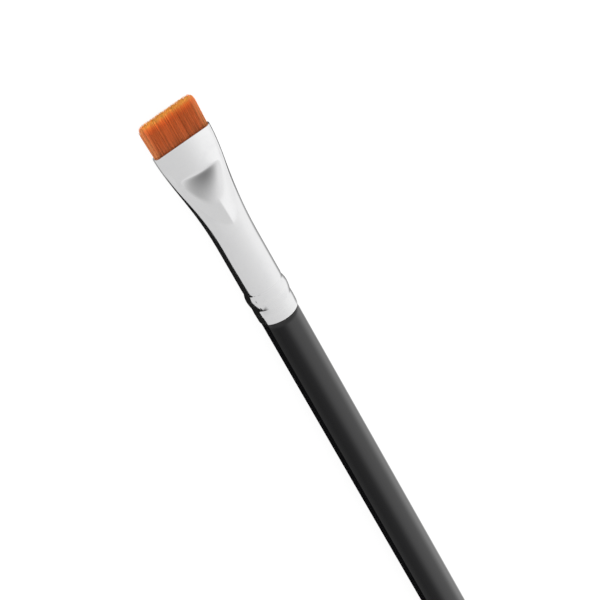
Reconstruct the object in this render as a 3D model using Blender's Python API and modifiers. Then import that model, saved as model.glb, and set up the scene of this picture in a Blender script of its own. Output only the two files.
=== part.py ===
"""Flat eyebrow brush: lacquered handle, pressed metal ferrule and a flat tuft of filaments.

The brush lies along X with its tips at +X and its flat face up. The origin is at the middle
of its length and width, on the surface that it lies on. Lengths are in metres.
"""

import math
import random

import bmesh
import bpy
from mathutils import Matrix, Vector

# Handle
handle_shown_length = 0.1220
handle_diameter = 0.00635
handle_end_diameter = 0.0056
handle_taper_length = 0.0700
butt_round_length = 0.0024
butt_flat_diameter = 0.0024
shoulder_round = 0.0002
tenon_length = 0.0125
tenon_chamfer = 0.0004

# Glue groove round the tenon, placed from the tenon's end
glue_groove_from_end = 0.0020
glue_groove_length = 0.0040
glue_groove_depth = 0.0006

# Ferrule. Its rolled rings are given from its end on the handle towards the mouth:
# a low ring with a taper and a rise, a groove, and a taller bead with a taper and a rise.
ferrule_length = 0.0328
ferrule_wall = 0.0003
tube_diameter = 0.0066
ring_diameter = 0.00666
bead_diameter = 0.00706
ring_taper_length = 0.0017
ring_rise_length = 0.0005
groove_length = 0.0003
bead_taper_length = 0.00165
bead_rise_length = 0.00075
crest_length = 0.0003

# Flared and pressed end of the ferrule
flare_length = 0.0198
flare_lateness = 1.3
mouth_width = 0.0100
mouth_thickness = 0.0019
mouth_crown_height = 0.0014
pressed_length = 0.0054
ramp_length = 0.0040
ramp_start_slope = 0.50
ramp_end_slope = 0.25
press_rounding = 0.00015

# Tuft
tuft_shown_length = 0.0052
tuft_tip_width = 0.0095
tuft_tip_thickness = 0.0014
tuft_corner_radius = 0.0008
root_recess = 0.0010
root_slice_length = 0.0036
strand_root_diameter = 0.00011
strand_tip_diameter = 0.00008
strand_sides = 4
strand_rows = 7
strands_in_long_row = 57
strand_embed_length = 0.0003
strand_edge_margin = 0.00006
tip_unevenness = 0.00008
tip_lean = 0.00002

# Resin behind the roots
resin_length = 0.0070

# Clearances between neighbours
side_clearance = 0.00015
end_clearance = 0.0001

# Fineness of the faceted shapes
sides = 32
flare_steps = 6
ramp_steps = 6
pressed_steps = 3
taper_steps = 8
butt_steps = 5
random_seed = 7

# Places along the brush, measured from the ferrule's end on the handle towards the tips
flare_start_place = ferrule_length - flare_length
crease_place = ferrule_length - pressed_length
ramp_foot_place = crease_place - ramp_length
root_face_place = ferrule_length - root_recess
root_back_place = root_face_place - root_slice_length
resin_front_place = root_back_place - end_clearance
resin_back_place = resin_front_place - resin_length
tip_place = ferrule_length + tuft_shown_length
glue_groove_end_place = tenon_length - glue_groove_from_end
glue_groove_start_place = glue_groove_end_place - glue_groove_length

# The frame: middle of the length at x = 0, lowest facet of the bead at z = 0
overall_length = handle_shown_length + tip_place
ferrule_start_x = handle_shown_length - overall_length / 2
axis_height = bead_diameter / 2 * math.cos(math.pi / sides)

# Radii that follow from the ferrule's bore
tube_radius = tube_diameter / 2
bore_fit_radius = tube_radius - ferrule_wall - side_clearance
groove_floor_radius = bore_fit_radius - glue_groove_depth


def clear_scene():
    for thing in list(bpy.data.objects):
        bpy.data.objects.remove(thing, do_unlink=True)


def make_collection(name):
    collection = bpy.data.collections.new(name)
    bpy.context.scene.collection.children.link(collection)
    return collection


def make_material(name, colour, roughness, metallic=0.0, coat=0.0):
    material = bpy.data.materials.new(name)
    material.use_nodes = True
    shader = material.node_tree.nodes["Principled BSDF"]
    shader.inputs["Base Color"].default_value = (*colour, 1.0)
    shader.inputs["Roughness"].default_value = roughness
    shader.inputs["Metallic"].default_value = metallic
    shader.inputs["Coat Weight"].default_value = coat
    return material


def mesh_object(name, bm, collection, parent, material=None):
    mesh = bpy.data.meshes.new(name)
    bm.to_mesh(mesh)
    bm.free()
    if material:
        mesh.materials.append(material)
    thing = bpy.data.objects.new(name, mesh)
    collection.objects.link(thing)
    thing.parent = parent
    return thing


# Turned shapes

def turned_object(name, outline, closed, collection, parent, material):
    """Turn (radius, place) points about the brush's axis.

    The points run down the outer side from the tip end to the butt end. The outline starts
    half a side round, so that a flat facet faces down.
    """
    half_side = math.pi / sides
    bm = bmesh.new()
    points = [
        bm.verts.new((radius * math.cos(half_side), radius * math.sin(half_side), place))
        for radius, place in outline
    ]
    followers = points[1:] + (points[:1] if closed else [])
    for first, second in zip(points, followers):
        bm.edges.new((first, second))
    thing = mesh_object(name, bm, collection, parent, material)
    thing.rotation_euler = (0.0, math.pi / 2, 0.0)
    screw = thing.modifiers.new("turn", "SCREW")
    screw.axis = "Z"
    screw.steps = sides
    screw.render_steps = sides
    screw.use_merge_vertices = True
    screw.merge_threshold = 0.00001
    screw.use_smooth_shade = True
    return thing


def handle_outline():
    handle_radius = handle_diameter / 2
    end_radius = handle_end_diameter / 2
    butt_flat_radius = butt_flat_diameter / 2
    shoulder_place = -end_clearance
    butt_place = -handle_shown_length
    round_start_place = butt_place + butt_round_length
    taper_start_place = round_start_place + handle_taper_length

    tenon = [
        (0.0, tenon_length),
        (bore_fit_radius - tenon_chamfer, tenon_length),
        (bore_fit_radius, tenon_length - tenon_chamfer),
        (bore_fit_radius, glue_groove_end_place),
        (groove_floor_radius, glue_groove_end_place),
        (groove_floor_radius, glue_groove_start_place),
        (bore_fit_radius, glue_groove_start_place),
        (bore_fit_radius, shoulder_place),
    ]
    shoulder = [
        (handle_radius - shoulder_round, shoulder_place),
        (handle_radius, shoulder_place - shoulder_round),
    ]
    taper = []
    for step in range(taper_steps + 1):
        share = step / taper_steps
        radius = handle_radius - (handle_radius - end_radius) * share * share
        taper.append((radius, taper_start_place - handle_taper_length * share))
    butt = []
    for step in range(1, butt_steps + 1):
        angle = math.pi / 2 * step / butt_steps
        radius = butt_flat_radius + (end_radius - butt_flat_radius) * math.cos(angle)
        butt.append((radius, round_start_place - butt_round_length * math.sin(angle)))
    return tenon + shoulder + taper + butt + [(0.0, butt_place)]


def glue_ring_outline():
    top = glue_groove_end_place - end_clearance
    bottom = glue_groove_start_place + end_clearance
    inner_radius = groove_floor_radius + side_clearance
    return [
        (bore_fit_radius, top),
        (bore_fit_radius, bottom),
        (inner_radius, bottom),
        (inner_radius, top),
    ]


# The ferrule's cross-sections, which everything inside it follows

def rolled_profile():
    """(place, radius) points of the two rolled rings, from the ferrule's end."""
    ring_radius = ring_diameter / 2
    bead_radius = bead_diameter / 2
    steps = [
        (0.0, tube_radius),
        (ring_taper_length, ring_radius),
        (crest_length, ring_radius),
        (ring_rise_length, tube_radius),
        (groove_length, tube_radius),
        (bead_taper_length, bead_radius),
        (crest_length, bead_radius),
        (bead_rise_length, tube_radius),
    ]
    place = 0.0
    points = []
    for length, radius in steps:
        place += length
        points.append((place, radius))
    return points


def rolled_radius(place):
    points = rolled_profile()
    for (start, start_radius), (end, end_radius) in zip(points, points[1:]):
        if start <= place <= end:
            share = (place - start) / (end - start)
            return start_radius + (end_radius - start_radius) * share
    return tube_radius


def flare_share(place):
    """How far the round tube has turned into the flat mouth, from 0 to 1."""
    share = (place - flare_start_place) / flare_length
    share = min(max(share, 0.0), 1.0) ** flare_lateness
    return share * share * (3.0 - 2.0 * share)


def half_sizes(place):
    """Half width and half height of the tube before the press flattens it."""
    share = flare_share(place)
    radius = rolled_radius(place)
    half_width = radius + (mouth_width / 2 - radius) * share
    half_height = radius + (mouth_crown_height - radius) * share
    return half_width, half_height


def press_height(place):
    """Height of the press die over the axis: flat at the mouth, with a ramp behind it."""
    share = (crease_place - place) / ramp_length
    if share <= 0.0:
        return mouth_thickness / 2
    slope_change = (ramp_start_slope - ramp_end_slope) / 2
    return mouth_thickness / 2 + ramp_length * share * (ramp_start_slope - slope_change * share)


def is_pressed(place):
    return place >= ramp_foot_place


def soft_lower(first, second):
    """The lower of two heights, rounded where they meet."""
    overlap = max(press_rounding - abs(first - second), 0.0)
    return min(first, second) - overlap * overlap / (4.0 * press_rounding)


def section(place, inset):
    """Points round the section at a place, inside the ferrule's outer face by the inset."""
    half_width, half_height = half_sizes(place)
    points = []
    for index in range(sides):
        angle = 2.0 * math.pi * (index + 0.5) / sides
        across = (half_width - inset) * math.cos(angle)
        up = (half_height - inset) * math.sin(angle)
        if is_pressed(place):
            up = math.copysign(soft_lower(abs(up), press_height(place) - inset), up)
        points.append((across, up))
    return points


def key_places():
    """Every place where the ferrule's shape needs a section."""
    places = [place for place, radius in rolled_profile()]
    spans = [
        (flare_start_place, ramp_foot_place, flare_steps),
        (ramp_foot_place, crease_place, ramp_steps),
        (crease_place, ferrule_length, pressed_steps),
    ]
    for start, end, steps in spans:
        places += [start + (end - start) * step / steps for step in range(steps)]
    places.append(ferrule_length)
    return sorted(places)


def places_between(start, end):
    return [start] + [place for place in key_places() if start < place < end] + [end]


def add_ring(bm, place, inset):
    return [bm.verts.new((place, across, up)) for across, up in section(place, inset)]


def join_rings(bm, first_ring, second_ring):
    count = len(first_ring)
    for index in range(count):
        following = (index + 1) % count
        bm.faces.new((
            first_ring[index],
            first_ring[following],
            second_ring[following],
            second_ring[index],
        ))


def lofted_tube(places, wall):
    """A tube through the sections, with an inner and an outer face and a rim at each end."""
    bm = bmesh.new()
    outer_rings = [add_ring(bm, place, 0.0) for place in places]
    inner_rings = [add_ring(bm, place, wall) for place in places]
    rings = outer_rings + inner_rings[::-1]
    for first_ring, second_ring in zip(rings, rings[1:] + rings[:1]):
        join_rings(bm, first_ring, second_ring)
    bmesh.ops.recalc_face_normals(bm, faces=bm.faces)
    return bm


def lofted_plug(places, inset):
    """A solid through the sections, closed at both ends."""
    bm = bmesh.new()
    rings = [add_ring(bm, place, inset) for place in places]
    for first_ring, second_ring in zip(rings, rings[1:]):
        join_rings(bm, first_ring, second_ring)
    bm.faces.new(rings[0])
    bm.faces.new(rings[-1])
    bmesh.ops.recalc_face_normals(bm, faces=bm.faces)
    return bm


def shade_round(thing, sharp_degrees):
    thing.data.shade_smooth()
    thing.data.set_sharp_from_angle(angle=math.radians(sharp_degrees))


# Bristles

def strand_roots_and_tips():
    """Root and full-length tip of each strand, fanned out so that none crosses another."""
    inset = ferrule_wall + side_clearance
    half_width, half_height = half_sizes(root_face_place)
    edge = strand_root_diameter / 2 + strand_edge_margin
    slice_half_width = half_width - inset - edge
    slice_half_height = half_height - inset
    root_rise = mouth_thickness / 2 - inset - edge
    tip_rise = (tuft_tip_thickness - strand_tip_diameter) / 2
    tip_half_width = (tuft_tip_width - strand_tip_diameter) / 2

    pitch_share = 2.0 / (strands_in_long_row - 1)
    strands = []
    for row in range(strand_rows):
        row_share = 2.0 * row / (strand_rows - 1) - 1.0
        is_short = row % 2
        root_up = root_rise * row_share
        outermost_up = abs(root_up) + edge
        narrowing = math.sqrt(max(1.0 - (outermost_up / slice_half_height) ** 2, 0.0))
        for column in range(strands_in_long_row - is_short):
            across_share = (column + is_short / 2) * pitch_share - 1.0
            root = Vector((
                root_face_place,
                slice_half_width * narrowing * across_share,
                root_up,
            ))
            tip = Vector((
                tip_place,
                tip_half_width * (1.0 + narrowing) / 2 * across_share,
                tip_rise * row_share,
            ))
            strands.append((root, tip))
    return strands


def corner_drop(across):
    """How much shorter the tuft is towards its rounded corners."""
    reach = abs(across) - (tuft_tip_width / 2 - tuft_corner_radius)
    if reach <= 0.0:
        return 0.0
    reach = min(reach, tuft_corner_radius)
    return tuft_corner_radius - math.sqrt(tuft_corner_radius ** 2 - reach ** 2)


def strand_bundle():
    """All strands in one mesh, each a thin tapered prism sunk into the root slice."""
    chance = random.Random(random_seed)
    bm = bmesh.new()
    for root, tip in strand_roots_and_tips():
        lean = Vector((0.0, chance.uniform(-tip_lean, tip_lean), chance.uniform(-tip_lean, tip_lean)))
        full_run = tip + lean - root
        drop = corner_drop(tip.y) + chance.uniform(0.0, tip_unevenness)
        run = full_run * (1.0 - drop / full_run.x)
        direction = full_run.normalized()
        start = root - direction * strand_embed_length
        length = run.length + strand_embed_length
        turn = direction.to_track_quat("Z", "Y").to_matrix().to_4x4()
        middle = Matrix.Translation(start + direction * length / 2)
        bmesh.ops.create_cone(
            bm,
            cap_ends=True,
            segments=strand_sides,
            radius1=strand_root_diameter / 2,
            radius2=strand_tip_diameter / 2,
            depth=length,
            matrix=middle @ turn,
        )
    return bm


def add_union(thing, other):
    union = thing.modifiers.new("fuse " + other.name, "BOOLEAN")
    union.operation = "UNION"
    union.solver = "EXACT"
    union.object = other


def hide_cutter(thing):
    thing.hide_render = True
    thing.display_type = "WIRE"


def build_handle(parts, axis):
    lacquer = make_material("black lacquer", (0.010, 0.010, 0.011), 0.14, coat=1.0)
    turned_object("handle", handle_outline(), False, parts, axis, lacquer)


def build_ferrule(parts, axis):
    metal = make_material("bright ferrule metal", (0.86, 0.86, 0.87), 0.22, metallic=1.0)
    bm = lofted_tube(places_between(0.0, ferrule_length), ferrule_wall)
    ferrule = mesh_object("ferrule", bm, parts, axis, metal)
    shade_round(ferrule, 35)


def build_tenon_glue(parts, axis):
    glue = make_material("clear glue", (0.78, 0.72, 0.55), 0.35)
    turned_object("tenon_glue_ring", glue_ring_outline(), True, parts, axis, glue)


def build_root_resin(parts, axis):
    resin = make_material("amber resin", (0.55, 0.33, 0.10), 0.30)
    places = places_between(resin_back_place, resin_front_place)
    bm = lofted_plug(places, ferrule_wall + side_clearance)
    plug = mesh_object("root_resin_plug", bm, parts, axis, resin)
    shade_round(plug, 35)


def build_tuft(parts, cutters, axis):
    filament = make_material("copper filament", (0.62, 0.20, 0.055), 0.42)
    places = places_between(root_back_place, root_face_place)
    bm = lofted_plug(places, ferrule_wall + side_clearance)
    tuft = mesh_object("bristle_tuft", bm, parts, axis, filament)
    strands = mesh_object("strands", strand_bundle(), cutters, axis)
    hide_cutter(strands)
    add_union(tuft, strands)


def build_brush():
    clear_scene()
    parts = make_collection("flat eyebrow brush")
    cutters = make_collection("brush cutters")
    axis = bpy.data.objects.new("brush axis", None)
    parts.objects.link(axis)
    axis.location = (ferrule_start_x, 0.0, axis_height)

    build_handle(parts, axis)
    build_tenon_glue(parts, axis)
    build_ferrule(parts, axis)
    build_root_resin(parts, axis)
    build_tuft(parts, cutters, axis)
    bpy.context.view_layer.update()


build_brush()
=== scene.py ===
import math
import random

import bpy
from mathutils import Matrix, Quaternion, Vector


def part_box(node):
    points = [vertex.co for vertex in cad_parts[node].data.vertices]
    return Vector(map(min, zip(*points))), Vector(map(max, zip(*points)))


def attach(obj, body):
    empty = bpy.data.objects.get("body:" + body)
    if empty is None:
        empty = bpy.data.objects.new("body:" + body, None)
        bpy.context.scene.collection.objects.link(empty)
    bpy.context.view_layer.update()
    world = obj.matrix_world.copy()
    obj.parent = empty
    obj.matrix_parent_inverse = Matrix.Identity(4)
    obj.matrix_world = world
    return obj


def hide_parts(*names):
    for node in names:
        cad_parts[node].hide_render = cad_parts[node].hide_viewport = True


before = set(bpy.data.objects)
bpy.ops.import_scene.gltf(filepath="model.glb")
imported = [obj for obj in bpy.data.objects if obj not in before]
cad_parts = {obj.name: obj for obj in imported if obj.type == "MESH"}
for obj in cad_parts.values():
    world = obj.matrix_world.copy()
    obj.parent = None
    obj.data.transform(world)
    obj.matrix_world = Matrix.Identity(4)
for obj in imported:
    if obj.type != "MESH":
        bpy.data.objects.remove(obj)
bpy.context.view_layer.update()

# Sizes in the dictionaries are in millimetres unless a note says otherwise.
# Places along the brush are counted from the ferrule's end on the handle, towards the tips.
mm = 0.001
ferruleLow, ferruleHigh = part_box("ferrule")
ferruleStart = ferruleLow.x
axisHeight = (ferruleLow.z + ferruleHigh.z) / 2


def deselectEverything():
    for thing in list(bpy.context.selected_objects):
        thing.select_set(False)


def pickOnly(thing):
    deselectEverything()
    thing.select_set(True)
    bpy.context.view_layer.objects.active = thing


def placeToX(place):
    return ferruleStart + place * mm


# Camera: a long lens over the bristles, looking down and back along the handle

cameraSetup = {
    "lens": 144,
    "place": (0.21993, 0.06893, 0.31701),       # metres
    "lookAt": (0.041419, -0.003811, 0.003673),  # metres
    "roll": 125.026,                            # degrees
}


def placeCamera():
    bpy.ops.object.camera_add(location=cameraSetup["place"])
    camera = bpy.context.active_object
    camera.name = "studioCamera"
    camera.data.lens = cameraSetup["lens"]
    sight = Vector(cameraSetup["lookAt"]) - Vector(cameraSetup["place"])
    roll = Quaternion((0, 0, 1), math.radians(cameraSetup["roll"]))
    camera.rotation_euler = (sight.to_track_quat("-Z", "Y") @ roll).to_euler()
    bpy.context.scene.camera = camera
    print("camera placed")


# Node helpers

def addNode(tree, kind, **values):
    node = tree.nodes.new(kind)
    for name, value in values.items():
        setattr(node, name, value)
    return node


def connect(tree, value, socket):
    # A number or colour is written on the socket, an output is linked to it
    if isinstance(value, (int, float)):
        socket.default_value = value
    elif isinstance(value, tuple):
        socket.default_value = (*value, 1.0) if len(socket.default_value) == 4 else value
    else:
        tree.links.new(value, socket)


def newMaterial(name):
    material = bpy.data.materials.new(name)
    material.use_nodes = True
    tree = material.node_tree
    tree.nodes.clear()
    output = addNode(tree, "ShaderNodeOutputMaterial")
    return material, tree, output


def mathNode(tree, operation, first, second=0.0, third=0.0):
    node = addNode(tree, "ShaderNodeMath", operation=operation)
    for socket, value in zip(node.inputs, (first, second, third)):
        connect(tree, value, socket)
    return node.outputs[0]


def addUp(tree, start, *parts):
    # start + amount * value for each (value, amount) part
    total = start
    for value, amount in parts:
        total = mathNode(tree, "MULTIPLY_ADD", value, amount, total)
    return total


def mapRange(tree, value, fromLow, fromHigh, toLow, toHigh, smooth=True):
    kind = "SMOOTHSTEP" if smooth else "LINEAR"
    node = addNode(tree, "ShaderNodeMapRange", interpolation_type=kind)
    names = ("Value", "From Min", "From Max", "To Min", "To Max")
    for name, number in zip(names, (value, fromLow, fromHigh, toLow, toHigh)):
        connect(tree, number, node.inputs[name])
    return node.outputs["Result"]


def colourRamp(tree, value, stops):
    # Stops are (place from 0 to 1, colour)
    ramp = addNode(tree, "ShaderNodeValToRGB")
    while len(ramp.color_ramp.elements) < len(stops):
        ramp.color_ramp.elements.new(0.5)
    for element, (place, colour) in zip(ramp.color_ramp.elements, stops):
        element.position = place
        element.color = (*colour, 1.0)
    tree.links.new(value, ramp.inputs[0])
    return ramp.outputs["Color"]


def greyRamp(tree, value, stops):
    # Stops are (place from 0 to 1, grey level)
    return colourRamp(tree, value, [(place, (level,) * 3) for place, level in stops])


def mixColour(tree, share, first, second, blend="MIX"):
    node = addNode(tree, "ShaderNodeMix", data_type="RGBA", blend_type=blend)
    connect(tree, share, node.inputs[0])
    connect(tree, first, node.inputs[6])
    connect(tree, second, node.inputs[7])
    return node.outputs[2]


def addGlow(tree, level):
    glow = addNode(tree, "ShaderNodeEmission")
    connect(tree, level, glow.inputs["Strength"])
    return glow.outputs[0]


def addMatt(tree, level):
    matt = addNode(tree, "ShaderNodeBsdfDiffuse")
    connect(tree, (level,) * 3, matt.inputs["Color"])
    return matt.outputs[0]


def mixShaders(tree, share, first, second):
    mix = addNode(tree, "ShaderNodeMixShader")
    for socket, value in zip(mix.inputs, (share, first, second)):
        connect(tree, value, socket)
    return mix.outputs[0]


def objectPlace(tree):
    # Where a point of the piece is, as separate X, Y and Z in metres
    coordinates = addNode(tree, "ShaderNodeTexCoord")
    split = addNode(tree, "ShaderNodeSeparateXYZ")
    tree.links.new(coordinates.outputs["Object"], split.inputs[0])
    return split.outputs["X"], split.outputs["Y"], split.outputs["Z"]


def seenRay(tree):
    # 1 for rays that show a background: straight to the camera, by reflection or through glass
    path = addNode(tree, "ShaderNodeLightPath")
    either = mathNode(tree, "MAXIMUM", path.outputs["Is Camera Ray"], path.outputs["Is Glossy Ray"])
    return mathNode(tree, "MAXIMUM", either, path.outputs["Is Transmission Ray"])


# Studio

studio = {
    "skyStops": [       # share of the way from the left to the right, and the level there
        (0.07, 0.678), (0.23, 0.704), (0.43, 0.736), (0.63, 0.782), (0.785, 0.833), (0.945, 0.925),
    ],
    "skyDimFrom": -0.17,        # how far the direction points towards the tips
    "skyDimTo": 0.42,
    "skyDimLevel": 0.22,
    "skyDimLean": 0.40,         # how much sooner it dims on the left
    "softLight": 0.82,          # what the sky gives to matt surfaces
    "floorSize": 8000,
    "floorDrop": 0.02,
    "floorWhite": 0.80,         # as it lights the brush
    "floorSeenWhite": 0.16,     # the part of the seen floor that takes the shadow
    "floorGlow": 0.90,
    "softboxes": {              # place, side and watts
        "keySoftbox": ((-150, -620, 900), 700, 3.2),
        "tipSoftbox": ((520, 60, 420), 300, 1.0),
    },
}


def buildSky():
    world = bpy.data.worlds.new("softStudio")
    bpy.context.scene.world = world
    world.use_nodes = True
    tree = world.node_tree
    tree.nodes.clear()
    output = addNode(tree, "ShaderNodeOutputWorld")
    way = addNode(tree, "ShaderNodeTexCoord")
    split = addNode(tree, "ShaderNodeSeparateXYZ")
    tree.links.new(way.outputs["Generated"], split.inputs[0])
    side = mapRange(tree, split.outputs["Y"], 1.0, -1.0, 0.0, 1.0, smooth=False)
    sky = greyRamp(tree, side, studio["skyStops"])
    forward = addUp(tree, split.outputs["X"], (split.outputs["Y"], studio["skyDimLean"]))
    dim = mapRange(tree, forward, studio["skyDimFrom"], studio["skyDimTo"], 1.0, studio["skyDimLevel"])
    path = addNode(tree, "ShaderNodeLightPath")
    lights = []
    for level in (studio["softLight"], mathNode(tree, "MULTIPLY", sky, dim), 1.0):
        light = addNode(tree, "ShaderNodeBackground")
        light.inputs["Color"].default_value = (1.0, 1.0, 1.0, 1.0)
        connect(tree, level, light.inputs["Strength"])
        lights.append(light.outputs[0])
    soft, reflected, background = lights
    shown = mixShaders(tree, path.outputs["Is Glossy Ray"], soft, reflected)
    shown = mixShaders(tree, path.outputs["Is Camera Ray"], shown, background)
    tree.links.new(shown, output.inputs["Surface"])


def floorMaterial():
    material, tree, output = newMaterial("whiteFloor")
    seen = addNode(tree, "ShaderNodeAddShader")
    tree.links.new(addMatt(tree, studio["floorSeenWhite"]), seen.inputs[0])
    tree.links.new(addGlow(tree, studio["floorGlow"]), seen.inputs[1])
    shown = mixShaders(tree, seenRay(tree), addMatt(tree, studio["floorWhite"]), seen.outputs[0])
    tree.links.new(shown, output.inputs["Surface"])
    return material


def layFloor():
    deselectEverything()
    bpy.ops.mesh.primitive_plane_add(
        size=studio["floorSize"] * mm, location=(0, 0, -studio["floorDrop"] * mm))
    floor = bpy.context.active_object
    floor.name = "studioFloor"
    floor.data.materials.append(floorMaterial())


def hangSoftboxes():
    for name, (spot, size, watts) in studio["softboxes"].items():
        place = Vector(spot) * mm
        bpy.ops.object.light_add(type="AREA", location=place)
        softbox = bpy.context.active_object
        softbox.name = name
        softbox.data.shape = "SQUARE"
        softbox.data.size = size * mm
        softbox.data.energy = watts
        softbox.rotation_euler = (-place).to_track_quat("-Z", "Y").to_euler()
        softbox.visible_glossy = False
        softbox.visible_camera = False


# Cards round the brush, which only its gloss sees: glowing sheets that are no lamps, so what they show is
# painted reflection

cards = {
    # Painted dark reflection: a near-black glowing sheet that gives the left side of the metal and lacquer a
    # dark strip
    "black": {              # on the floor along the left side, as (place, to the left) points
        "outline": [
            (60, -1), (60, 10.8), (6, 12.8), (2, 14.6), (-2, 16), (-5, 18.2), (-9, 19.6), (-13, 23),
            (-21, 28.5), (-75, 100), (-300, 100), (-300, -1),
        ],
        "lift": 0.05,
        "paleFrom": 24,     # it gets paler towards the mouth
        "paleTo": 27,
        "levels": (0.012, 0.36),    # away from the mouth and at it
    },
    # Painted floor reflections: glowing sheets seen only in gloss, grey on the left and near white on the
    # right
    "grey": {"left": (5, 4000), "along": (-4000, 4000), "lift": 0.03, "level": 0.67},
    "pale": {"left": (-4000, -14.5), "along": (-4000, 4000), "lift": 0.03, "level": 0.93},
    # Painted shadow: the brush's shade on the floor to its right, as its gloss sees it
    "right": {
        "left": (-14.5, -1), "along": (-300, 60), "lift": 0.05,
        "stops": [(0.0, 0.90), (0.40, 0.45), (0.68, 0.20), (1.0, 0.20)],
        "darkFrom": 15,     # it gets darker towards the mouth
        "darkTo": 23,
        "dark": 0.08,
    },
    # Painted dark reflection, standing far to the left
    "flag": {
        "left": 100, "along": (-300, -90), "fullFrom": -108, "height": 84, "fullUnder": 0, "level": 0.012,
    },
}


def hideFromAllButGloss(card):
    # A card lights nothing and throws no shadow
    card.visible_camera = False
    card.visible_diffuse = False
    card.visible_transmission = False
    card.visible_shadow = False


def newCardMaterial(name):
    # Found by reflections alone, never picked as a lamp
    material, tree, output = newMaterial(name)
    material.cycles.emission_sampling = "NONE"
    return material, tree, output


def glowMaterial(name, level):
    material, tree, output = newCardMaterial(name)
    tree.links.new(addGlow(tree, level), output.inputs["Surface"])
    return material


def coverWith(tree, output, cover, shader):
    # The shader where the cover is 1, clear where it is 0
    clear = addNode(tree, "ShaderNodeBsdfTransparent")
    tree.links.new(mixShaders(tree, cover, clear.outputs[0], shader), output.inputs["Surface"])


def flatCard(name, card, material):
    (nearX, farX), (nearY, farY) = card["along"], card["left"]
    deselectEverything()
    bpy.ops.mesh.primitive_plane_add(
        size=1, location=(placeToX((nearX + farX) / 2), (nearY + farY) / 2 * mm, card["lift"] * mm))
    thing = bpy.context.active_object
    thing.name = name
    thing.scale = ((farX - nearX) * mm, (farY - nearY) * mm, 1)
    bpy.ops.object.transform_apply(location=True, rotation=True, scale=True)
    thing.data.materials.append(material)
    hideFromAllButGloss(thing)


# Painted dark reflection, near black, paler towards the mouth
def blackCardMaterial():
    card = cards["black"]
    material, tree, output = newCardMaterial("paintedBlackReflection")
    x, y, z = objectPlace(tree)
    black, pale = card["levels"]
    level = mapRange(tree, x, placeToX(card["paleFrom"]), placeToX(card["paleTo"]), black, pale)
    tree.links.new(addGlow(tree, level), output.inputs["Surface"])
    return material


def cutBlackCard():
    outline = cards["black"]["outline"]
    deselectEverything()
    bpy.ops.mesh.primitive_circle_add(vertices=len(outline), radius=0.05, fill_type="NGON")
    card = bpy.context.active_object
    card.name = "blackCard"
    for point, (place, left) in zip(card.data.vertices, outline):     # cut to its outline
        point.co = (placeToX(place), left * mm, cards["black"]["lift"] * mm)
    card.data.materials.append(blackCardMaterial())
    hideFromAllButGloss(card)


def flagMaterial():
    # A near-black glow seen only in reflections, a painted dark reflection that fades out towards its top and
    # its near end
    flag = cards["flag"]
    material, tree, output = newMaterial("paintedBlackFlagReflection")
    x, y, z = objectPlace(tree)
    near = mapRange(tree, x, placeToX(flag["along"][1]), placeToX(flag["fullFrom"]), 0.0, 1.0)
    low = mapRange(tree, z, flag["height"] * mm, flag["fullUnder"] * mm, 0.0, 1.0)
    coverWith(tree, output, mathNode(tree, "MULTIPLY", near, low), addGlow(tree, flag["level"]))
    return material


def standBlackFlag():
    flag = cards["flag"]
    farX, nearX = flag["along"]
    deselectEverything()
    bpy.ops.mesh.primitive_plane_add(
        size=1, rotation=(math.pi / 2, 0, 0),
        location=(placeToX((nearX + farX) / 2), flag["left"] * mm, flag["height"] / 2 * mm))
    card = bpy.context.active_object
    card.name = "blackFlag"
    card.scale = ((nearX - farX) * mm, flag["height"] * mm, 1)
    bpy.ops.object.transform_apply(location=True, rotation=True, scale=True)
    card.data.materials.append(flagMaterial())
    hideFromAllButGloss(card)


def rightCardMaterial():
    # Painted shadow of the brush on the floor, seen only in reflections: dark close to the brush, paler away
    # from it
    card = cards["right"]
    material, tree, output = newCardMaterial("paintedShadowReflection")
    x, y, z = objectPlace(tree)
    share = mapRange(tree, y, card["left"][0] * mm, card["left"][1] * mm, 0.0, 1.0, smooth=False)
    front = mapRange(tree, x, placeToX(card["darkFrom"]), placeToX(card["darkTo"]), 0.0, 1.0)
    level = mixColour(tree, front, greyRamp(tree, share, card["stops"]), (card["dark"],) * 3)
    tree.links.new(addGlow(tree, level), output.inputs["Surface"])
    return material


archSides = 96              # round a full turn, before an arch is cut

reflectionTunnel = {             # glowing sheet bent over the handle, seen only in its gloss: a painted reflection
    "radius": 5.2,
    "along": (-125.2, -1.4),
    "softEdges": (0.6, 0.6),
    "leftEdge": (5.16, 0.64),   # left of and over the axis, where the glowing sheet ends
    "rightEdge": (-0.64, -5.16),
    "brightest": 2.1,
    "stops": [              # degrees from straight up to the right, level
        (-78, 0.37), (-63, 0.335), (-51, 0.29), (-33, 0.36), (-23, 0.45), (-13, 0.77), (-3, 1.22), (7, 1.46),
        (22, 1.53), (37, 1.52), (52, 1.93), (61, 2.06), (73, 1.75), (85, 1.08), (100, 0.91),
    ],
}

diffuserArch = {            # frosted arch, glowing and seen only in gloss, whose painted reflection lights the pressed flat
    "radius": 61,
    "along": (-4.0, 24.0),
    "softEdges": (2.0, 10.0),
    "leftEdge": (60.9, -3.4),
    "rightEdge": (-60.9, -3.4),
    "brightest": 1.0,
    "stops": [
        (10.8, 0.665), (12.4, 0.725), (13.1, 0.765), (13.8, 0.845), (14.4, 0.935), (15.1, 0.975),
        (16.2, 0.995), (35, 0.985), (60, 0.93), (80, 0.90),
    ],
}

ringArch = {                # small glowing arch, a painted reflection on the rolled rings, that keeps the big one out of them
    "radius": 12,
    "along": (-1.5, 12.0),
    "softEdges": (1.5, 3.0),
    "leftEdge": (11.57, 3.17),
    "rightEdge": (-11.02, 4.75),
    "brightest": 1.0,
    "stops": [
        (-74.7, 0.678), (-55.4, 0.685), (-36.2, 0.702), (-19.0, 0.723), (-1.7, 0.752), (13.9, 0.784),
        (29.5, 0.825), (43.6, 0.869), (56.0, 0.901), (66.7, 0.917),
    ],
}


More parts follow.
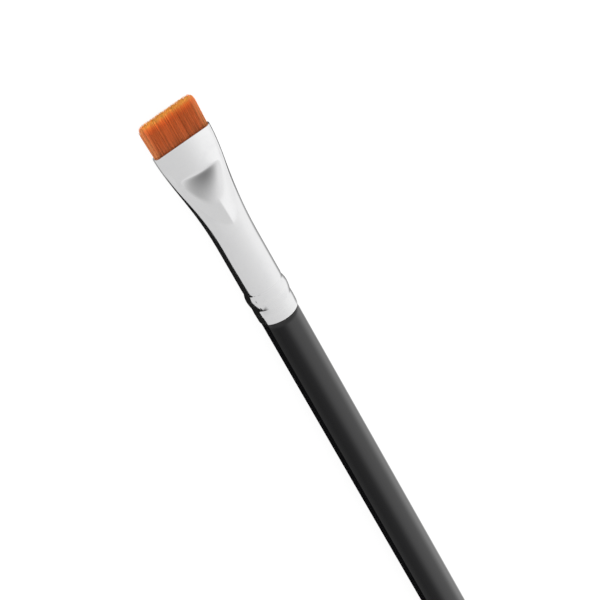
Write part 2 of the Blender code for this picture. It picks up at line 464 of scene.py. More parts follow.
def archMaterial(name, arch):
    # Its glow depends on the angle round the brush
    material, tree, output = newCardMaterial(name)
    x, y, z = objectPlace(tree)
    right = mathNode(tree, "MULTIPLY", y, -1.0)
    up = mathNode(tree, "SUBTRACT", z, axisHeight)
    angle = mathNode(tree, "ARCTAN2", right, up)
    share = mapRange(tree, angle, -math.pi, math.pi, 0.0, 1.0, smooth=False)
    stops = [(degrees / 360 + 0.5, level / arch["brightest"]) for degrees, level in arch["stops"]]
    level = mathNode(tree, "MULTIPLY", greyRamp(tree, share, stops), arch["brightest"])
    (start, end), (startSoft, endSoft) = arch["along"], arch["softEdges"]
    pastStart = mapRange(tree, x, placeToX(start), placeToX(start + startSoft), 0.0, 1.0)
    beforeEnd = mapRange(tree, x, placeToX(end), placeToX(end - endSoft), 0.0, 1.0)
    coverWith(tree, output, mathNode(tree, "MULTIPLY", pastStart, beforeEnd), addGlow(tree, level))
    return material


def bendArch(name, arch, material):
    startX, endX = (placeToX(place) for place in arch["along"])
    deselectEverything()
    bpy.ops.mesh.primitive_cylinder_add(
        vertices=archSides, radius=arch["radius"] * mm, depth=endX - startX, end_fill_type="NOTHING",
        location=((startX + endX) / 2, 0, axisHeight), rotation=(0, math.pi / 2, 0))
    paper = bpy.context.active_object
    paper.name = name
    bpy.ops.object.transform_apply(location=True, rotation=True, scale=True)
    (leftY, leftUp), (rightY, rightUp) = arch["leftEdge"], arch["rightEdge"]
    cut = (0, leftY * mm, axisHeight + leftUp * mm)
    outward = Vector((0, leftUp - rightUp, rightY - leftY)).normalized()    # an operator wants unit length
    bpy.ops.object.mode_set(mode="EDIT")
    bpy.ops.mesh.select_all(action="SELECT")
    bpy.ops.mesh.bisect(plane_co=cut, plane_no=outward, clear_outer=True)
    bpy.ops.object.mode_set(mode="OBJECT")
    paper.data.materials.append(material)
    hideFromAllButGloss(paper)


def buildStudio():
    buildSky()
    layFloor()
    hangSoftboxes()
    cutBlackCard()
    standBlackFlag()
    # Painted reflections of the floor, grey on the left and near white on the right
    flatCard("greySweep", cards["grey"], glowMaterial("paintedGreyFloorReflection", cards["grey"]["level"]))
    flatCard("paleSweep", cards["pale"], glowMaterial("paintedPaleFloorReflection", cards["pale"]["level"]))
    flatCard("rightCard", cards["right"], rightCardMaterial())
    bendArch("reflectionTunnel", reflectionTunnel, archMaterial("paintedHandleReflection", reflectionTunnel))
    bendArch("diffuserArch", diffuserArch, archMaterial("paintedFlatReflection", diffuserArch))
    bendArch("ringArch", ringArch, archMaterial("paintedRingReflection", ringArch))
    bpy.context.scene.view_settings.view_transform = "Standard"
    print("studio built")


# Effects that several finishes share. Their sizes are in millimetres.

def newGroup(name, inputs, outputs):
    tree = bpy.data.node_groups.new(name, "ShaderNodeTree")
    for label, value in inputs:
        socket = tree.interface.new_socket(name=label, in_out="INPUT", socket_type="NodeSocketFloat")
        socket.default_value = value
    for label in outputs:
        tree.interface.new_socket(name=label, in_out="OUTPUT", socket_type="NodeSocketFloat")
    return tree, addNode(tree, "NodeGroupInput"), addNode(tree, "NodeGroupOutput")


def stretchedPlace(tree, along, across):
    # The point's place, in steps of the two lengths along and across the brush
    x, y, z = objectPlace(tree)
    join = addNode(tree, "ShaderNodeCombineXYZ")
    for socket, value, length in zip(join.inputs, (x, y, z), (along, across, across)):
        inMillimetres = mathNode(tree, "MULTIPLY", value, 1 / mm)
        tree.links.new(mathNode(tree, "DIVIDE", inMillimetres, length), socket)
    return join.outputs[0]


def noise(tree, vector, detail=2.0, roughness=0.5, distortion=0.0):
    # Its steps are those of the vector
    node = addNode(tree, "ShaderNodeTexNoise")
    tree.links.new(vector, node.inputs["Vector"])
    names = ("Scale", "Detail", "Roughness", "Distortion")
    for name, value in zip(names, (1.0, detail, roughness, distortion)):
        connect(tree, value, node.inputs[name])
    return node.outputs["Fac"]


def makeLengthLines():
    # Fine lines along the brush: drawn metal, combed filaments
    tree, given, result = newGroup("lengthLines", [("Length", 8.0), ("Width", 0.2)], ["Lines"])
    where = stretchedPlace(tree, given.outputs["Length"], given.outputs["Width"])
    lines = noise(tree, where, detail=3.0, roughness=0.6)
    tree.links.new(mapRange(tree, lines, 0.3, 0.7, 0.0, 1.0), result.inputs["Lines"])
    return tree


def makeHandlingMarks():
    # Cloudy finger smudges and thin hair scratches from use
    inputs = [("Smudge Size", 3.0), ("Scratch Length", 2.5), ("Scratch Width", 0.05)]
    tree, given, result = newGroup("handlingMarks", inputs, ["Smudge", "Scratch"])
    size = given.outputs["Smudge Size"]
    clouds = noise(tree, stretchedPlace(tree, size, size), detail=4.0, roughness=0.55, distortion=0.6)
    tree.links.new(mapRange(tree, clouds, 0.46, 0.68, 0.0, 1.0), result.inputs["Smudge"])
    where = stretchedPlace(tree, given.outputs["Scratch Length"], given.outputs["Scratch Width"])
    hairs = noise(tree, where, detail=1.0, distortion=0.8)
    tree.links.new(mapRange(tree, hairs, 0.69, 0.74, 0.0, 1.0), result.inputs["Scratch"])
    return tree


def makeSpecks():
    # Sparse round specks: dust in lacquer, bubbles in resin
    inputs = [("Spacing", 2.0), ("Size", 0.05), ("Share", 0.5)]
    tree, given, result = newGroup("specks", inputs, ["Specks"])
    where = stretchedPlace(tree, given.outputs["Spacing"], given.outputs["Spacing"])
    cells = addNode(tree, "ShaderNodeTexVoronoi")
    connect(tree, 1.0, cells.inputs["Scale"])
    tree.links.new(where, cells.inputs["Vector"])
    reach = mathNode(tree, "DIVIDE", given.outputs["Size"], given.outputs["Spacing"])
    spot = mapRange(tree, cells.outputs["Distance"], mathNode(tree, "MULTIPLY", reach, 0.5), reach, 1.0, 0.0)
    chance = addNode(tree, "ShaderNodeSeparateColor")
    tree.links.new(cells.outputs["Color"], chance.inputs[0])
    kept = mathNode(tree, "LESS_THAN", chance.outputs[0], given.outputs["Share"])
    tree.links.new(mathNode(tree, "MULTIPLY", spot, kept), result.inputs["Specks"])
    return tree


def makeWornBand():
    # A rubbed band round the brush at one place, with a broken edge
    inputs = [("Place", 0.0), ("Reach", 0.5), ("Patch Size", 0.6)]
    tree, given, result = newGroup("wornBand", inputs, ["Mask"])
    x, y, z = objectPlace(tree)
    along = mathNode(tree, "DIVIDE", mathNode(tree, "SUBTRACT", x, ferruleStart), mm)
    away = mathNode(tree, "ABSOLUTE", mathNode(tree, "SUBTRACT", along, given.outputs["Place"]))
    size = given.outputs["Patch Size"]
    patches = noise(tree, stretchedPlace(tree, size, size), detail=3.0)
    reach = mathNode(tree, "MULTIPLY", given.outputs["Reach"], mapRange(tree, patches, 0.3, 0.7, 0.3, 1.3))
    tree.links.new(mapRange(tree, away, mathNode(tree, "MULTIPLY", reach, 0.4), reach, 1.0, 0.0),
                   result.inputs["Mask"])
    return tree


effects = {
    "lines": makeLengthLines(),
    "marks": makeHandlingMarks(),
    "specks": makeSpecks(),
    "worn": makeWornBand(),
}


def useEffect(tree, effect, values):
    node = addNode(tree, "ShaderNodeGroup")
    node.node_tree = effects[effect]
    for name, value in values.items():
        connect(tree, value, node.inputs[name])
    return node


def addShader(tree, output, values):
    shader = addNode(tree, "ShaderNodeBsdfPrincipled")
    for name, value in values.items():
        connect(tree, value, shader.inputs[name])
    tree.links.new(shader.outputs[0], output.inputs["Surface"])
    return shader.outputs[0]


def addBump(tree, height, depth, under=None):
    # Depth is the height of the relief in millimetres
    bump = addNode(tree, "ShaderNodeBump")
    connect(tree, 1.0, bump.inputs["Strength"])
    connect(tree, depth * mm, bump.inputs["Distance"])
    tree.links.new(height, bump.inputs["Height"])
    if under:
        tree.links.new(under, bump.inputs["Normal"])
    return bump.outputs["Normal"]


# Finishes. What smudges, scratches, lines or wear add to a roughness stands after it.

lacquerFinish = {
    "black": (0.0035, 0.0035, 0.004),
    "dust": (0.10, 0.10, 0.10),
    "worn": (0.012, 0.011, 0.010),
    "marks": {"Smudge Size": 5.0, "Scratch Length": 6.0, "Scratch Width": 0.06},
    "specks": {"Spacing": 2.6, "Size": 0.05, "Share": 0.35},
    "shoulderWear": {"Reach": 0.35, "Patch Size": 0.5},
    "buttWear": {"Reach": 2.2, "Patch Size": 0.8},
    "roughness": 0.085,
    "smudgeRougher": 0.03,
    "scratchRougher": 0.10,
    "wornRougher": 0.14,
    "peelSize": 1.1,
    "peelDepth": 0.0006,
    "dustHeight": 0.004,
}


def blackLacquer():
    material, tree, output = newMaterial("blackLacquer")
    finish = lacquerFinish
    marks = useEffect(tree, "marks", finish["marks"])
    dust = useEffect(tree, "specks", finish["specks"])
    shoulder = useEffect(tree, "worn", {"Place": -handle["shoulderGap"], **finish["shoulderWear"]})
    butt = useEffect(tree, "worn", {"Place": -handle["length"], **finish["buttWear"]})
    worn = mathNode(tree, "MAXIMUM", shoulder.outputs["Mask"], butt.outputs["Mask"])
    colour = mixColour(tree, worn, finish["black"], finish["worn"])
    colour = mixColour(tree, dust.outputs["Specks"], colour, finish["dust"])
    roughness = addUp(tree, finish["roughness"], (marks.outputs["Smudge"], finish["smudgeRougher"]),
                      (marks.outputs["Scratch"], finish["scratchRougher"]), (worn, finish["wornRougher"]))
    peel = noise(tree, stretchedPlace(tree, finish["peelSize"] * 2, finish["peelSize"]), detail=2.0)
    normal = addBump(tree, peel, finish["peelDepth"])
    normal = addBump(tree, dust.outputs["Specks"], finish["dustHeight"], under=normal)
    addShader(tree, output, {"Base Color": colour, "Roughness": roughness, "Normal": normal})
    return material


metalFinish = {
    "bright": (0.905, 0.905, 0.910),
    "smudged": (0.875, 0.875, 0.885),
    "worn": (0.93, 0.93, 0.93),
    "smudgeShare": 0.6,     # how much of its own colour a full smudge shows
    "wornShare": 0.5,
    "lines": {"Length": 9.0, "Width": 0.16},
    "marks": {"Smudge Size": 2.4, "Scratch Length": 1.6, "Scratch Width": 0.035},
    "ringWear": [(4.15, 0.45), (1.5, 0.40)],    # place and reach
    "mouthWearReach": 0.35,
    "wearPatchSize": 0.5,
    "roughness": 0.085,
    "smudgeRougher": 0.035,
    "scratchRougher": 0.06,
    "lineRougher": 0.015,
    "wornRougher": 0.03,
    "lineDepth": 0.00025,
    "scratchDepth": 0.0004,
}


def pressedMetal():
    material, tree, output = newMaterial("pressedMetal")
    finish = metalFinish
    lines = useEffect(tree, "lines", finish["lines"])
    marks = useEffect(tree, "marks", finish["marks"])
    worn = 0.0
    patch = finish["wearPatchSize"]
    for place, reach in finish["ringWear"] + [(ferrule["length"], finish["mouthWearReach"])]:
        band = useEffect(tree, "worn", {"Place": place, "Reach": reach, "Patch Size": patch})
        worn = mathNode(tree, "MAXIMUM", band.outputs["Mask"], worn)
    smudged = mathNode(tree, "MULTIPLY", marks.outputs["Smudge"], finish["smudgeShare"])
    colour = mixColour(tree, smudged, finish["bright"], finish["smudged"])
    rubbed = mathNode(tree, "MULTIPLY", worn, finish["wornShare"])
    colour = mixColour(tree, rubbed, colour, finish["worn"])
    roughness = addUp(tree, finish["roughness"], (marks.outputs["Smudge"], finish["smudgeRougher"]),
                      (marks.outputs["Scratch"], finish["scratchRougher"]),
                      (lines.outputs["Lines"], finish["lineRougher"]), (worn, finish["wornRougher"]))
    normal = addBump(tree, lines.outputs["Lines"], finish["lineDepth"])
    normal = addBump(tree, marks.outputs["Scratch"], finish["scratchDepth"], under=normal)
    addShader(tree, output,
              {"Base Color": colour, "Roughness": roughness, "Normal": normal, "Metallic": 1.0})
    return material


filamentFinish = {
    # Darker towards the mouth and brightest at the tips: partly the filaments' own colour, partly painted
    # shade near the mouth and painted light at the tips
    "alongStops": [         # share of the filament from its root, and the colour there
        (0.36, (0.57, 0.152, 0.048)), (0.55, (0.68, 0.155, 0.039)), (0.80, (0.74, 0.160, 0.034)),
        (0.86, (0.82, 0.158, 0.030)), (0.93, (1.0, 0.272, 0.050)), (1.0, (1.0, 0.60, 0.12)),
    ],
    # Painted light: the tuft's sides are made paler and yellower, as where light comes through the outer
    # filaments
    "edge": (0.98, 0.43, 0.16),
    "edgeFrom": 3.5,        # across from the middle
    "edgeTo": 4.85,
    "edgeLightShare": 0.85,
    "lines": {"Length": 7.0, "Width": 0.26},
    "light": 0.69,          # of the darkest filament, where no line brightens it
    "chanceLighter": 0.28,  # what each filament's own chance adds
    "lineLighter": 0.34,
    "roughness": 0.36,
    "chanceRougher": 0.12,
    "lineRougher": 0.06,
    "gloss": 0.30,
    "letsThrough": 0.30,    # share of the light that goes through a filament
}


def copperFilament():
    # The strand map holds each filament's chance and the share of the way along it
    material, tree, output = newMaterial("copperFilament")
    finish = filamentFinish
    strand = addNode(tree, "ShaderNodeUVMap", uv_map="strandMap")
    split = addNode(tree, "ShaderNodeSeparateXYZ")
    tree.links.new(strand.outputs[0], split.inputs[0])
    chance, along = split.outputs["X"], split.outputs["Y"]
    # Painted shade towards the mouth and painted light at the tips, over the filaments' own colour
    colour = colourRamp(tree, along, finish["alongStops"])
    x, y, z = objectPlace(tree)
    across = mathNode(tree, "ABSOLUTE", y)
    # Painted light along the tuft's sides
    edge = mapRange(tree, across, finish["edgeFrom"] * mm, finish["edgeTo"] * mm, 0.0, finish["edgeLightShare"])
    colour = mixColour(tree, edge, colour, finish["edge"])
    lines = useEffect(tree, "lines", finish["lines"])
    light = addUp(tree, finish["light"], (chance, finish["chanceLighter"]),
                  (lines.outputs["Lines"], finish["lineLighter"]))
    shade = addNode(tree, "ShaderNodeCombineColor")
    for socket in shade.inputs[:3]:
        tree.links.new(light, socket)
    colour = mixColour(tree, 1.0, colour, shade.outputs[0], blend="MULTIPLY")
    roughness = addUp(tree, finish["roughness"], (chance, finish["chanceRougher"]),
                      (lines.outputs["Lines"], finish["lineRougher"]))
    shader = addShader(tree, output, {
        "Base Color": colour, "Roughness": roughness, "Specular IOR Level": finish["gloss"]})
    through = addNode(tree, "ShaderNodeBsdfTranslucent")
    tree.links.new(colour, through.inputs["Color"])
    filament = mixShaders(tree, finish["letsThrough"], shader, through.outputs[0])
    tree.links.new(filament, output.inputs["Surface"])
    return material


rootsFinish = {
    "between": (0.20, 0.055, 0.014),
    "filaments": (0.42, 0.12, 0.03),
    "lines": {"Length": 6.0, "Width": 0.12},
    "bubbles": {"Spacing": 0.7, "Size": 0.10, "Share": 0.5},
    "roughness": 0.28,
    "lineRougher": 0.15,
    "lineDepth": 0.01,
    "bubbleDepth": 0.02,
}


def pottedRoots():
    material, tree, output = newMaterial("pottedRoots")
    finish = rootsFinish
    lines = useEffect(tree, "lines", finish["lines"])
    bubbles = useEffect(tree, "specks", finish["bubbles"])
    colour = mixColour(tree, lines.outputs["Lines"], finish["between"], finish["filaments"])
    roughness = addUp(tree, finish["roughness"], (lines.outputs["Lines"], finish["lineRougher"]))
    normal = addBump(tree, lines.outputs["Lines"], finish["lineDepth"])
    normal = addBump(tree, bubbles.outputs["Specks"], finish["bubbleDepth"], under=normal)
    addShader(tree, output, {"Base Color": colour, "Roughness": roughness, "Normal": normal})
    return material


resinFinish = {
    "amber": (0.50, 0.28, 0.075),
    "cloudy": (0.62, 0.40, 0.14),
    "bubble": (0.78, 0.60, 0.32),
    "marks": {"Smudge Size": 1.8, "Scratch Length": 1.0, "Scratch Width": 0.05},
    "bubbles": {"Spacing": 0.8, "Size": 0.14, "Share": 0.5},
    "roughness": 0.16,
    "smudgeRougher": 0.10,
    "scratchRougher": 0.15,
    "bubbleDepth": 0.03,
}


def amberResin():
    material, tree, output = newMaterial("amberResin")
    finish = resinFinish
    marks = useEffect(tree, "marks", finish["marks"])
    bubbles = useEffect(tree, "specks", finish["bubbles"])
    colour = mixColour(tree, marks.outputs["Smudge"], finish["amber"], finish["cloudy"])
    colour = mixColour(tree, bubbles.outputs["Specks"], colour, finish["bubble"])
    roughness = addUp(tree, finish["roughness"], (marks.outputs["Smudge"], finish["smudgeRougher"]),
                      (marks.outputs["Scratch"], finish["scratchRougher"]))
    normal = addBump(tree, bubbles.outputs["Specks"], finish["bubbleDepth"])
    addShader(tree, output, {"Base Color": colour, "Roughness": roughness, "Normal": normal})
    return material


glueFinish = {
    "set": (0.74, 0.67, 0.49),
    "cloudy": (0.83, 0.78, 0.62),
    "marks": {"Smudge Size": 1.2, "Scratch Length": 1.0, "Scratch Width": 0.08},
    "bubbles": {"Spacing": 0.6, "Size": 0.08, "Share": 0.6},
    "roughness": 0.34,
    "smudgeRougher": 0.16,
    "bubbleDepth": 0.02,
}


def setGlue():
    material, tree, output = newMaterial("setGlue")
    finish = glueFinish
    marks = useEffect(tree, "marks", finish["marks"])
    bubbles = useEffect(tree, "specks", finish["bubbles"])
    colour = mixColour(tree, marks.outputs["Smudge"], finish["set"], finish["cloudy"])
    roughness = addUp(tree, finish["roughness"], (marks.outputs["Smudge"], finish["smudgeRougher"]))
    normal = addBump(tree, bubbles.outputs["Specks"], finish["bubbleDepth"])
    addShader(tree, output, {"Base Color": colour, "Roughness": roughness, "Normal": normal})
    return material


def dressInnerPieces():
    for node, finish in (("root_resin_plug", amberResin()), ("tenon_glue_ring", setGlue())):
        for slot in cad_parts[node].material_slots:
            slot.material = finish
    print("resin and glue dressed")


# Rings pulled along the brush

def drawRings(name, sides, rings, capped):
    # Each ring is (place, half width, half height). The first is a circle, the rest are extruded from it.
    place, halfWidth, halfHeight = rings[0]
    deselectEverything()
    bpy.ops.mesh.primitive_circle_add(
        vertices=sides, radius=halfWidth * mm, fill_type="NGON" if capped else "NOTHING",
        location=(placeToX(place), 0, axisHeight), rotation=(0, math.pi / 2, 0))
    piece = bpy.context.active_object
    piece.name = name
    piece.data.name = name
    bpy.ops.object.transform_apply(location=True, rotation=True, scale=True)
    bpy.ops.object.mode_set(mode="EDIT")
    bpy.ops.mesh.select_all(action="SELECT")
    bpy.ops.transform.resize(value=(1, 1, halfHeight / halfWidth),
                             center_override=(placeToX(place), 0, axisHeight))
    for lastRing, ring in zip(rings, rings[1:]):
        step = (ring[0] - lastRing[0]) * mm
        bpy.ops.mesh.extrude_region_move(TRANSFORM_OT_translate={"value": (step, 0, 0)})
        bpy.ops.transform.resize(value=(1, ring[1] / lastRing[1], ring[2] / lastRing[2]),
                                 center_override=(placeToX(ring[0]), 0, axisHeight))
    bpy.ops.mesh.select_all(action="SELECT")
    bpy.ops.mesh.normals_make_consistent(inside=False)
    bpy.ops.object.mode_set(mode="OBJECT")
    return piece


def smoothByAngle(piece, degrees):
    pickOnly(piece)
    bpy.ops.object.shade_smooth_by_angle(angle=math.radians(degrees))


# Handle

handle = {
    "length": 122.0,
    "radius": 3.175,
    "buttRadius": 2.8,
    "buttRound": 2.4,
    "buttFlatRadius": 1.2,
    "taperLength": 70.0,
    "shoulderRound": 0.2,
    "shoulderGap": 0.1,
    "tenonRadius": 2.85,
    "tenonLength": 12.5,
    "tenonChamfer": 0.4,
    "grooveStart": 6.5,
    "grooveLength": 4.0,
    "grooveDepth": 0.6,
    "sides": 128,
    "smoothUnder": 30,      # degrees
}


def handleRings():
    radius, buttRadius = handle["radius"], handle["buttRadius"]
    flatRadius, roundLength = handle["buttFlatRadius"], handle["buttRound"]
    butt = -handle["length"]
    roundStart = butt + roundLength
    taperStart = roundStart + handle["taperLength"]
    rings = []
    roundSteps, taperSteps, shoulderSteps = 14, 40, 5
    for step in range(roundSteps + 1):
        angle = math.pi / 2 * step / roundSteps
        rings.append((roundStart - roundLength * math.cos(angle),
                      flatRadius + (buttRadius - flatRadius) * math.sin(angle)))
    for step in range(1, taperSteps + 1):
        share = 1 - step / taperSteps
        place = taperStart - handle["taperLength"] * share
        rings.append((place, radius - (radius - buttRadius) * share ** 2))
    shoulder, edge = -handle["shoulderGap"], handle["shoulderRound"]
    for step in range(shoulderSteps + 1):
        angle = math.pi / 2 * step / shoulderSteps
        rings.append((shoulder - edge + edge * math.sin(angle), radius - edge + edge * math.cos(angle)))
    tenon, chamfer = handle["tenonRadius"], handle["tenonChamfer"]
    grooveEnd = handle["grooveStart"] + handle["grooveLength"]
    floorRadius = tenon - handle["grooveDepth"]
    rings += [
        (shoulder, tenon),
        (handle["grooveStart"], tenon),
        (handle["grooveStart"], floorRadius),
        (grooveEnd, floorRadius),
        (grooveEnd, tenon),
        (handle["tenonLength"] - chamfer, tenon),
        (handle["tenonLength"], tenon - chamfer),
    ]
    return [(place, size, size) for place, size in rings]


def turnHandle(lacquer):
    piece = drawRings("lacqueredHandle", handle["sides"], handleRings(), capped=True)
    smoothByAngle(piece, handle["smoothUnder"])
    piece.data.materials.append(lacquer)
    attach(piece, "root")
    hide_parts("handle")
    print("handle turned")


# Ferrule

ferrule = {
    "length": 32.8,
    "wall": 0.3,
    "tubeRadius": 3.3,
    "rolled": [             # crest place and radius, foot place and radius, how round the fall between is
        (1.50, 3.360, 0.00, 3.310, 1.0),
        (1.50, 3.360, 2.68, 3.312, 2.0),
        (4.05, 3.510, 2.68, 3.312, 1.6),
        (4.05, 3.510, 4.35, 3.510, 1.0),
        (4.35, 3.510, 5.50, 3.236, 1.5),
        (6.08, 3.300, 5.50, 3.236, 2.0),
    ],
    "flareStart": 13.0,
    "flareLateness": 1.30,
    "mouthHalfWidth": 5.04,
    "flatHeight": 0.95,
    "creasePlace": 27.74,
    "creaseSkew": 0.09,     # how much nearer the tips it lies for each millimetre to the left
    "creaseSag": 0.43,      # how far the crease lies nearer the handle in the middle
    "creaseReach": 3.7,
    "creaseRound": 0.28,
    "fall": 3.6,            # how late the top falls from the tube to the flat
    "peak": 0.8,            # how narrow the rising middle is at the crease
    "lipRound": 0.05,
    "lipSteps": 3,
    "lipAngle": 60,         # degrees, the edges that are rounded
    "sides": 192,
    "smoothUnder": 12,      # degrees
}


def ringRadius(place):
    for crest, high, foot, low, roundness in ferrule["rolled"]:
        share = (place - crest) / (foot - crest)
        if 0 <= share <= 1:
            return high - (high - low) * share ** roundness
    return ferrule["tubeRadius"]


def flareHalfWidth(place):
    share = (place - ferrule["flareStart"]) / (ferrule["length"] - ferrule["flareStart"])
    share = min(max(share, 0), 1) ** ferrule["flareLateness"]
    share = share * share * (3 - 2 * share)
    radius = ringRadius(place)
    return radius + (ferrule["mouthHalfWidth"] - radius) * share


def roundShare(back):
    # 0 on the pressed flat, 1 on the round tube, by the distance back from the crease
    back = (back + math.hypot(back, ferrule["creaseRound"])) / 2
    fallLength = ferrule["creasePlace"] - ferrule["flareStart"]
    return 1 - min(max(1 - back / fallLength, 0), 1) ** ferrule["fall"]


def sectionHeight(place, across):
    # Height over the axis, at this distance across from the middle of the ferrule's section
    halfWidth = flareHalfWidth(place)
    rise = math.sqrt(max(1 - (across / halfWidth) ** 2, 0))
    if place <= ferrule["flareStart"]:
        return ringRadius(place) * rise
    nearMiddle = max(1 - (across / ferrule["creaseReach"]) ** 2, 0) ** 2
    crease = ferrule["creasePlace"] + ferrule["creaseSkew"] * across - ferrule["creaseSag"] * nearMiddle
    share = roundShare(crease - place)
    fromSide = min(halfWidth - abs(across), ferrule["flatHeight"])
    pressed = math.sqrt(max(ferrule["flatHeight"] ** 2 - (ferrule["flatHeight"] - fromSide) ** 2, 0))
    tube = ferrule["tubeRadius"] * rise ** (1 + ferrule["peak"] * (1 - share))
    return pressed * (1 - share) + tube * share


def pressPiece(piece, inset=0.0):
    # The die comes down on both faces: no operator presses, so the points are moved one by one
    thinner = 1 - inset / ferrule["flatHeight"]
    for point in piece.data.vertices:
        place = (point.co.x - ferruleStart) / mm
        if place > ferrule["flareStart"]:
            outside = flareHalfWidth(place)
            across = point.co.y / mm * outside / (outside - inset)
            height = sectionHeight(place, across) * thinner
            point.co.z = axisHeight + math.copysign(height, point.co.z - axisHeight) * mm


def ferrulePlaces():
    # Rings lie closest over the rolled rings and round the crease
    spans = [
        (0.0, 6.0, 80), (6.0, ferrule["flareStart"], 10), (ferrule["flareStart"], 24.0, 44),
        (24.0, 26.4, 20), (26.4, 28.4, 20), (28.4, ferrule["length"], 14),
    ]
    places = [start + (end - start) * step / steps for start, end, steps in spans for step in range(steps)]
    return places + [ferrule["length"]]


def rollFerrule(metal):
    rings = [(place, flareHalfWidth(place), sectionHeight(place, 0)) for place in ferrulePlaces()]
    piece = drawRings("pressedFerrule", ferrule["sides"], rings, capped=False)
    pressPiece(piece)
    pickOnly(piece)
    wall = piece.modifiers.new("wall", "SOLIDIFY")
    wall.thickness = ferrule["wall"] * mm
    wall.offset = -1
    bpy.ops.object.modifier_apply(modifier="wall")
    lip = piece.modifiers.new("lip", "BEVEL")
    lip.limit_method = "ANGLE"
    lip.angle_limit = math.radians(ferrule["lipAngle"])
    lip.width = ferrule["lipRound"] * mm
    lip.segments = ferrule["lipSteps"]
    bpy.ops.object.modifier_apply(modifier="lip")
    smoothByAngle(piece, ferrule["smoothUnder"])
    piece.data.materials.append(metal)
    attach(piece, "root")
    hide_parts("ferrule")
    print("ferrule rolled and pressed")


# Tuft

tuft = {
    "rootPlace": 29.4,
    "tipPlace": 38.18,
    "rows": 15,
    "inLongRow": 116,
    "rootHalfWidth": 4.64,
    "rootHalfHeight": 0.52,
    "tipHalfWidth": 4.88,
    "tipHalfHeight": 0.68,
    "leftCorner": 1.0,
    "rightCorner": 0.75,
    "notchAt": 2.0,             # a slight dip in the cut, left of the middle
    "notchReach": 0.7,
    "notchDepth": 0.07,
    "filamentSides": 5,
    "filamentShape": [          # share of the length, and of the root's radius there
        (0.0, 1.0), (0.35, 0.98), (0.7, 0.9), (0.9, 0.78), (0.985, 0.6), (1.0, 0.25),
    ],
    "rootRadius": 0.036,
    "bow": 0.03,
    "narrowing": 0.80,          # how much the outer rows draw in at their ends
    "scatter": 0.02,
    "clumpPull": 0.035,
    "clumpsAcross": 34,
    "clumpWander": 2.1,
    "clumpRowStep": 1.3,
    "unevenness": 0.25,
    "seed": 11,
}

rootBlock = {"back": 28.2, "front": 31.8, "inset": 0.45, "steps": 9, "sides": 96, "smoothUnder": 40}


def pourRootBlock(potted):
    # The slice of potted roots that the filaments grow from
    places = [rootBlock["back"] + (rootBlock["front"] - rootBlock["back"]) * step / rootBlock["steps"]
              for step in range(rootBlock["steps"] + 1)]
    inset = rootBlock["inset"]
    rings = [(place, flareHalfWidth(place) - inset, ferrule["flatHeight"] - inset) for place in places]
    piece = drawRings("tuftRootBlock", rootBlock["sides"], rings, capped=True)
    pressPiece(piece, inset)
    smoothByAngle(piece, rootBlock["smoothUnder"])
    piece.data.materials.append(potted)
    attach(piece, "root")
    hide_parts("bristle_tuft")
    print("root block poured")


def bowAt(share):
    return 4 * tuft["bow"] * mm * share * (1 - share)


def modelFilament():
    # One filament of unit length along X, drawn ring by ring to a blunt point
    shape = tuft["filamentShape"]
    deselectEverything()
    bpy.ops.mesh.primitive_circle_add(
        vertices=tuft["filamentSides"], radius=tuft["rootRadius"] * mm, fill_type="NGON",
        rotation=(0, math.pi / 2, 0))
    filament = bpy.context.active_object
    filament.name = "filament"
    bpy.ops.object.transform_apply(location=True, rotation=True, scale=True)
    bpy.ops.object.mode_set(mode="EDIT")
    bpy.ops.mesh.select_all(action="SELECT")
    for (lastPlace, lastSize), (place, size) in zip(shape, shape[1:]):
        step = (place - lastPlace, 0, bowAt(place) - bowAt(lastPlace))
        bpy.ops.mesh.extrude_region_move(TRANSFORM_OT_translate={"value": step})
        bpy.ops.transform.resize(value=(1, size / lastSize, size / lastSize),
                                 center_override=(place, 0, bowAt(place)))
    bpy.ops.mesh.select_all(action="SELECT")
    bpy.ops.mesh.normals_make_consistent(inside=False)
    bpy.ops.object.mode_set(mode="OBJECT")
    filament.data.uv_layers.new(name="strandMap")
    pickOnly(filament)
    bpy.ops.object.shade_smooth()
    return filament


def cutBack(across):
    # How much shorter the tuft is cut at this distance to the left of the middle
    corner = tuft["leftCorner"] if across > 0 else tuft["rightCorner"]
    reach = min(max(abs(across) - (tuft["tipHalfWidth"] - corner), 0), corner)
    rounded = corner - math.sqrt(corner ** 2 - reach ** 2)
    nearNotch = max(1 - abs(across - tuft["notchAt"]) / tuft["notchReach"], 0)
    return rounded + tuft["notchDepth"] * nearNotch ** 2


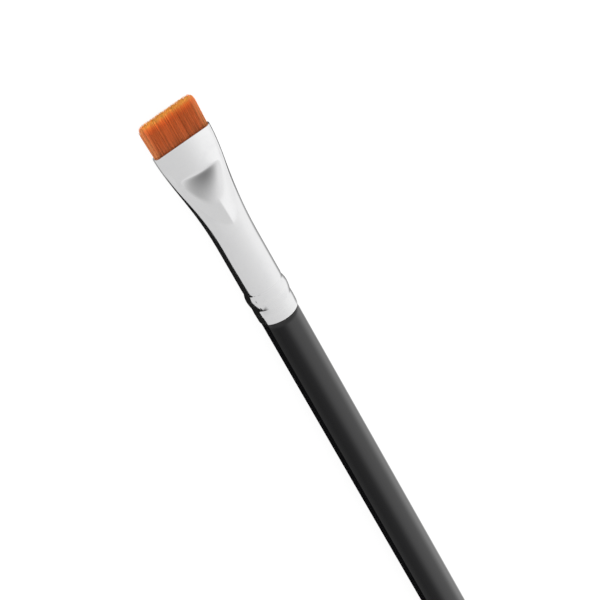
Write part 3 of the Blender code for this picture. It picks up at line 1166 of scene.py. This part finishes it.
def filamentRun(row, column, chance):
    # Root and tip of one filament, as (place, across, up)
    rowShare = 2 * row / (tuft["rows"] - 1) - 1
    rowWidth = math.sqrt(1 - (tuft["narrowing"] * rowShare) ** 4)
    shifted = column + (0.5 if row % 2 else 0)
    acrossShare = (2 * shifted / (tuft["inLongRow"] - 1) - 1) * rowWidth
    spread = tuft["scatter"]
    root = Vector((tuft["rootPlace"], tuft["rootHalfWidth"] * acrossShare, tuft["rootHalfHeight"] * rowShare))
    wander = tuft["clumpWander"] * math.sin(tuft["clumpRowStep"] * row)
    clump = math.sin(math.pi * tuft["clumpsAcross"] * acrossShare + wander)
    across = tuft["tipHalfWidth"] * acrossShare + tuft["clumpPull"] * clump + chance.gauss(0, spread)
    up = tuft["tipHalfHeight"] * rowShare + chance.gauss(0, spread)
    tipPlace = tuft["tipPlace"] - cutBack(across) - chance.random() ** 2 * tuft["unevenness"]
    return root, Vector((tipPlace, across, up))


def copyFilament(filament, root, tip, chance):
    # A copy with its own mesh, turned and stretched to run from root to tip
    shade = chance.random()
    mesh = filament.data.copy()
    along = [filament.data.vertices[loop.vertex_index].co.x for loop in filament.data.loops]
    pairs = [number for share in along for number in (shade, share)]
    mesh.uv_layers["strandMap"].data.foreach_set("uv", pairs)
    turn = Matrix.Rotation(chance.uniform(0, 2 * math.pi), 4, "X")
    run = (tip - root) * mm
    stretch = Matrix.Identity(4)
    stretch.col[0] = (run.x, run.y, run.z, 0)
    stretch.col[3] = (placeToX(root.x), root.y * mm, axisHeight + root.z * mm, 1)
    mesh.transform(stretch @ turn)
    copy = bpy.data.objects.new("filamentCopy", mesh)
    bpy.context.collection.objects.link(copy)
    return copy


def plantTuft(copper):
    chance = random.Random(tuft["seed"])
    filament = modelFilament()
    copies = []
    for row in range(tuft["rows"]):
        for column in range(tuft["inLongRow"] - row % 2):
            root, tip = filamentRun(row, column, chance)
            copies.append(copyFilament(filament, root, tip, chance))
    bpy.data.objects.remove(filament, do_unlink=True)
    deselectEverything()
    for copy in copies:
        copy.select_set(True)
    bpy.context.view_layer.objects.active = copies[0]
    bpy.ops.object.join()
    piece = bpy.context.active_object
    piece.name = "filamentTuft"
    piece.data.name = "filamentTuft"
    piece.data.materials.append(copper)
    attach(piece, "root")
    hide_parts("bristle_tuft")
    print("tuft planted,", len(copies), "filaments")


placeCamera()
buildStudio()
turnHandle(blackLacquer())
rollFerrule(pressedMetal())
pourRootBlock(pottedRoots())
plantTuft(copperFilament())
dressInnerPieces()
